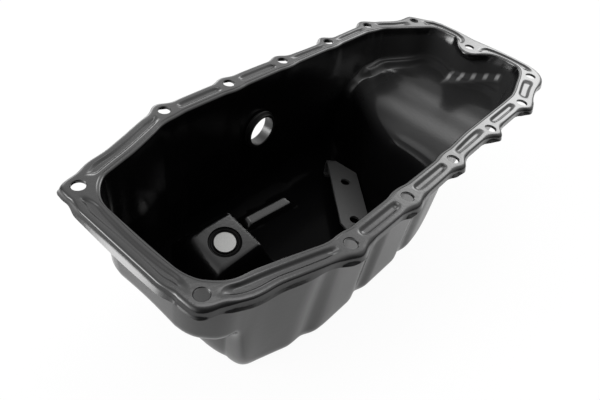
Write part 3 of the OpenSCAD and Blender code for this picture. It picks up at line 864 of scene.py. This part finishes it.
def strip_mesh(name, thick, corner):
    """A bent bar: eight-sided sections, with small bevels, along its middle line. Its two sides
    follow the plan."""
    line, up = bent_line(strip_line, 2.2)
    low = np.interp(line[:, 0], *zip(*strip_low))
    high = np.interp(line[:, 0], *zip(*strip_high))
    half = thick / 2
    flat = half - corner
    edges = [(low + corner, half), (high - corner, half), (high, flat), (high, -flat),
             (high - corner, -half), (low + corner, -half), (low, -flat), (low, flat)]
    body = np.stack([np.column_stack([line[:, 0] + up[:, 0] * h, v, line[:, 1] + up[:, 1] * h])
                     for v, h in edges], axis=1)
    c, d = np.cos(strip_turn), np.sin(strip_turn)
    body = body @ np.array([[c, d, 0], [-d, c, 0], [0, 0, 1]]) + strip_at
    n = np.arange(len(line) - 1)[:, None] * 8
    k = np.arange(8)[None, :]
    ahead = (k + 1) % 8
    faces = np.stack([n + 8 + k, n + 8 + ahead, n + ahead, n + k], axis=-1).reshape(-1, 4).tolist()
    faces += [list(range(8)), [8 * len(line) - 1 - q for q in range(8)]]
    mesh = bpy.data.meshes.new(name)
    mesh.from_pydata((body.reshape(-1, 3) / 1000).tolist(), [], faces)
    mesh.update()
    return mesh


strip = fitting("strip", "baffle_strip", strip_mesh("strip", 2.0, 0.35),
                dull_steel("strip_steel", 0.04, 0.3))
hole_profile = [(3.5, 10), (3.5, 15.75), (3.9, 16.15), (3.9, 20)]
strip_way = np.array([np.cos(strip_turn), np.sin(strip_turn), 0])
hole_places = [(strip_at * [1, 1, 0] + u * strip_way, (0, 0, 1), 0) for u in (-2.2, 38.8)]
pierce(strip, turned("strip_holes", [hole_profile], hole_places))

# Table, light and camera. The pan stands on a white table under soft light, and is seen as the
# photograph shows it, from above the near left corner.

def area(name, size, place, target, power):
    """A soft rectangular lamp that faces a point: its back is the direction from that point."""
    data = bpy.data.lights.new(name, "AREA")
    data.shape = "RECTANGLE"
    data.size, data.size_y = size
    data.energy = power
    lamp = bpy.data.objects.new(name, data)
    back = np.array(place, float) - np.array(target, float)
    back /= np.linalg.norm(back)
    right = np.cross([0, 0, 1], back)
    right /= np.linalg.norm(right)
    turn_to = np.stack([right, np.cross(back, right), back], axis=-1)
    lamp.matrix_world = Matrix.Translation(place) @ Matrix(turn_to.tolist()).to_4x4()
    bpy.context.scene.collection.objects.link(lamp)


area("softbox_key", (0.5, 0.5), (0.5, 0.45, 1.6), (0, 0, 0.05), 2)

table = bpy.data.objects.new("table", bpy.data.meshes.new("table"))
table.data.from_pydata([(-4, -4, 0), (4, -4, 0), (4, 4, 0), (-4, 4, 0)], [], [(0, 1, 2, 3)])
bpy.context.scene.collection.objects.link(table)


def white_table():
    """A white table: mostly its own light, so that shadows on it stay faint, most of all to the
    camera."""
    material = bpy.data.materials.new("white_table")
    material.use_nodes = True
    nodes, links = material.node_tree.nodes, material.node_tree.links
    cloth = nodes["Principled BSDF"]
    cloth.inputs["Base Color"].default_value = (0.92, 0.92, 0.92, 1)
    cloth.inputs["Roughness"].default_value = 0.9
    cloth.inputs["Specular IOR Level"].default_value = 0
    glow = nodes.new("ShaderNodeEmission")
    glow.inputs["Color"].default_value = (1, 1, 1, 1)
    glow.inputs["Strength"].default_value = 1.0
    ray = nodes.new("ShaderNodeLightPath")
    share = nodes.new("ShaderNodeMapRange")
    share.inputs["To Min"].default_value = 0.35
    share.inputs["To Max"].default_value = 0.95
    both = nodes.new("ShaderNodeMixShader")
    links.new(ray.outputs["Is Camera Ray"], share.inputs["Value"])
    links.new(share.outputs["Result"], both.inputs["Fac"])
    links.new(cloth.outputs["BSDF"], both.inputs[1])
    links.new(glow.outputs["Emission"], both.inputs[2])
    links.new(both.outputs["Shader"], nodes["Material Output"].inputs["Surface"])
    return material


table.data.materials.append(white_table())


def studio():
    """The room: plain white to the camera. To the paint it is dark, with soft lights, each a power
    of the cosine to its direction: a bright one past the shallow end, a broad one high behind the
    far side, two on the left, a weak one to the right of the camera, and a low one behind."""
    world = bpy.data.worlds.new("studio")
    world.use_nodes = True
    nodes, links = world.node_tree.nodes, world.node_tree.links
    paper = nodes["Background"]
    paper.inputs["Color"].default_value = (1, 1, 1, 1)
    room = nodes.new("ShaderNodeBackground")
    ray = nodes.new("ShaderNodeLightPath")
    both = nodes.new("ShaderNodeMixShader")
    place = nodes.new("ShaderNodeTexCoord")
    level = 0.15
    # direction, power of the cosine, strength
    lights = [((0.86, 0.17, 0.48), 42, 7.7), ((0.45, 0.50, 0.74), 4, 1.9),
              ((-0.77, 0.35, 0.53), 6, 3.2), ((-0.81, 0.545, 0.21), 32, 16),
              ((0.64, -0.36, 0.68), 6, 1.1), ((0.38, 0.91, 0.16), 24, 5.5)]
    for towards, power, strength in lights:
        dot = nodes.new("ShaderNodeVectorMath")
        dot.operation = "DOT_PRODUCT"
        dot.inputs[1].default_value = towards
        front = nodes.new("ShaderNodeMath")
        front.operation = "MAXIMUM"
        front.inputs[1].default_value = 0
        lobe = nodes.new("ShaderNodeMath")
        lobe.operation = "POWER"
        lobe.inputs[1].default_value = power
        add = nodes.new("ShaderNodeMath")
        add.operation = "MULTIPLY_ADD"
        add.inputs[1].default_value = strength
        links.new(place.outputs["Generated"], dot.inputs[0])
        links.new(dot.outputs["Value"], front.inputs[0])
        links.new(front.outputs["Value"], lobe.inputs[0])
        links.new(lobe.outputs["Value"], add.inputs[0])
        if isinstance(level, float):
            add.inputs[2].default_value = level
        else:
            links.new(level, add.inputs[2])
        level = add.outputs["Value"]
    links.new(level, room.inputs["Strength"])
    links.new(ray.outputs["Is Camera Ray"], both.inputs["Fac"])
    links.new(room.outputs["Background"], both.inputs[1])
    links.new(paper.outputs["Background"], both.inputs[2])
    links.new(both.outputs["Shader"], nodes["World Output"].inputs["Surface"])
    return world


bpy.context.scene.world = studio()

camera_data = bpy.data.cameras.new("camera")
camera_data.sensor_width = 36
camera_data.lens = 33.19
camera = bpy.data.objects.new("camera", camera_data)

# the camera's three directions and its place
right = np.array([0.64697, -0.74712, 0.15245])
down = np.array([-0.43624, -0.52664, -0.72962])
ahead = np.array([0.62540, 0.40554, -0.66664])
place = (-0.25821, -0.14274, 0.28395)
facing = Matrix(np.stack([right, -down, -ahead], axis=-1).tolist())
camera.matrix_world = Matrix.Translation(place) @ facing.to_4x4()
bpy.context.scene.collection.objects.link(camera)
bpy.context.scene.camera = camera
bpy.context.scene.view_settings.view_transform = "Standard"
